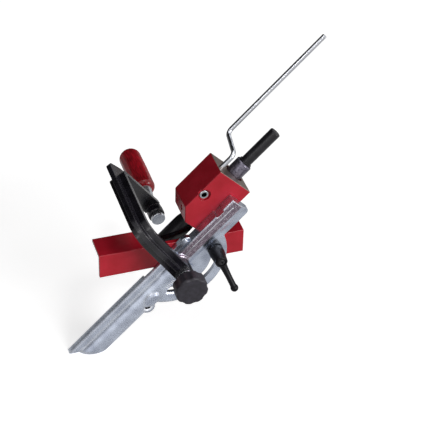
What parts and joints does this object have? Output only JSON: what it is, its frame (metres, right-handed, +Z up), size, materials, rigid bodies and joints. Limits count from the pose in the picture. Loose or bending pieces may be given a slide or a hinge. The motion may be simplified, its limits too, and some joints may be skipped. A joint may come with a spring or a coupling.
{
  "type": "drilling jig",
  "caption": "Angle drilling jig that clamps over a board's edge: fence rail, swinging arm with guide block and boring bit, depth rod, screw clamp and locking lever",
  "frame": {"origin": "the fence rail's inside corner, on the board's top front edge, where the drilling axis crosses it in front view", "axes": "+X right along the rail, +Y away from the user through the board, +Z up"},
  "size_m": [0.3404, 0.2894, 0.3757],
  "materials": {
    "red_enamel": "glossy enamel",
    "cast_alloy": "as cast, lightly polished",
    "zinc_steel": "zinc plated",
    "bright_ferrule": "turned bright",
    "bright_rod": "bright drawn and plated",
    "oiled_steel": "turned and oil blackened",
    "black_oxide": "glossy black",
    "black_enamel": "glossy enamel over a casting",
    "black_plastic": "fine matt",
    "insert_brass": "turned",
    "red_lacquered_wood": "clear red lacquer",
    "black_lever": "satin powder coat"
  },
  "bodies": {
    "fence": {"fence_rail": "red_enamel", "pivot_bolt": "zinc_steel", "lever_stud": "zinc_steel"},
    "arm": {"swing_arm": "cast_alloy", "guide_block": "red_enamel", "block_studs": "zinc_steel"},
    "rod": {"depth_rod": "bright_rod"},
    "set_screw": {"rod_set_screw": "bright_ferrule"},
    "sleeve": {"guide_sleeve": "oiled_steel"},
    "bit": {"boring_bit": "black_oxide", "shank_ring": "black_oxide"},
    "clamp": {"clamp_frame": "black_enamel", "arm_washer": "zinc_steel"},
    "knob_base": {"knob_washer": "zinc_steel"},
    "knob": {"clamp_knob": "black_plastic", "knob_insert": "insert_brass"},
    "pad": {"pressure_pad": "zinc_steel", "pad_ring": "zinc_steel"},
    "screw": {"clamp_screw": "zinc_steel", "handle_ferrule": "bright_ferrule", "wooden_handle": "red_lacquered_wood", "handle_end_washer": "zinc_steel"},
    "lever_base": {"lever_insert": "zinc_steel", "lever_screw": "zinc_steel", "lever_spring": "zinc_steel", "lever_washer": "zinc_steel"},
    "lever": {"lever_handle": "black_lever"}
  },
  "joints": [
    {"name": "arm_swing", "type": "hinge", "parent": "fence", "child": "arm", "pos_m": [-0.008, 0, -0.0165], "axis": [0, -1, 0], "range_deg": [0, 42]},
    {"name": "clamp_swing", "type": "hinge", "parent": "fence", "child": "clamp", "pos_m": [-0.008, 0, -0.0165], "axis": [0, -1, 0], "range_deg": [0, 30]},
    {"name": "knob_release", "type": "slide", "parent": "fence", "child": "knob_base", "axis": [0, -1, 0], "range_m": [0, 0.003]},
    {"name": "knob_turn", "type": "hinge", "parent": "knob_base", "child": "knob", "pos_m": [-0.008, 0, -0.0165], "axis": [0, -1, 0], "range_deg": [0, 720]},
    {"name": "lever_turn", "type": "hinge", "parent": "fence", "child": "lever_base", "pos_m": [0.04177, 0, -0.01476], "axis": [0, -1, 0], "range_deg": [-75, 180]},
    {"name": "lever_lift", "type": "slide", "parent": "lever_base", "child": "lever", "axis": [0, -1, 0], "range_m": [0, 0.0025], "stiffness_N_per_m": 500, "springref_m": -0.002, "deforming": ["lever_spring"]},
    {"name": "screw_feed", "type": "slide", "parent": "clamp", "child": "pad", "axis": [0, -1, 0], "range_m": [0, 0.012]},
    {"name": "screw_turn", "type": "hinge", "parent": "pad", "child": "screw", "pos_m": [-0.008, 0, -0.0165], "axis": [0, -1, 0], "range_deg": [0, 1440]},
    {"name": "depth_slide", "type": "slide", "parent": "arm", "child": "rod", "axis": [0.7071, 0, 0.7071], "range_m": [-0.015, 0.018]},
    {"name": "set_screw_turn", "type": "hinge", "parent": "arm", "child": "set_screw", "pos_m": [0.02751, 0, 0.06923], "axis": [0, -1, 0], "range_deg": [0, 180]},
    {"name": "spindle_plunge", "type": "slide", "parent": "arm", "child": "sleeve", "axis": [0.7071, 0, 0.7071], "range_m": [-0.034, 0.03]},
    {"name": "spindle_spin", "type": "hinge", "parent": "sleeve", "child": "bit", "pos_m": [0, 0.0225, 0], "axis": [0.7071, 0, 0.7071], "continuous": true}
  ],
  "couplings": [
    {"joint": "knob_turn", "follows": "knob_release", "rad_per_m": 4188.8},
    {"joint": "screw_turn", "follows": "screw_feed", "rad_per_m": 2094.4}
  ]
}
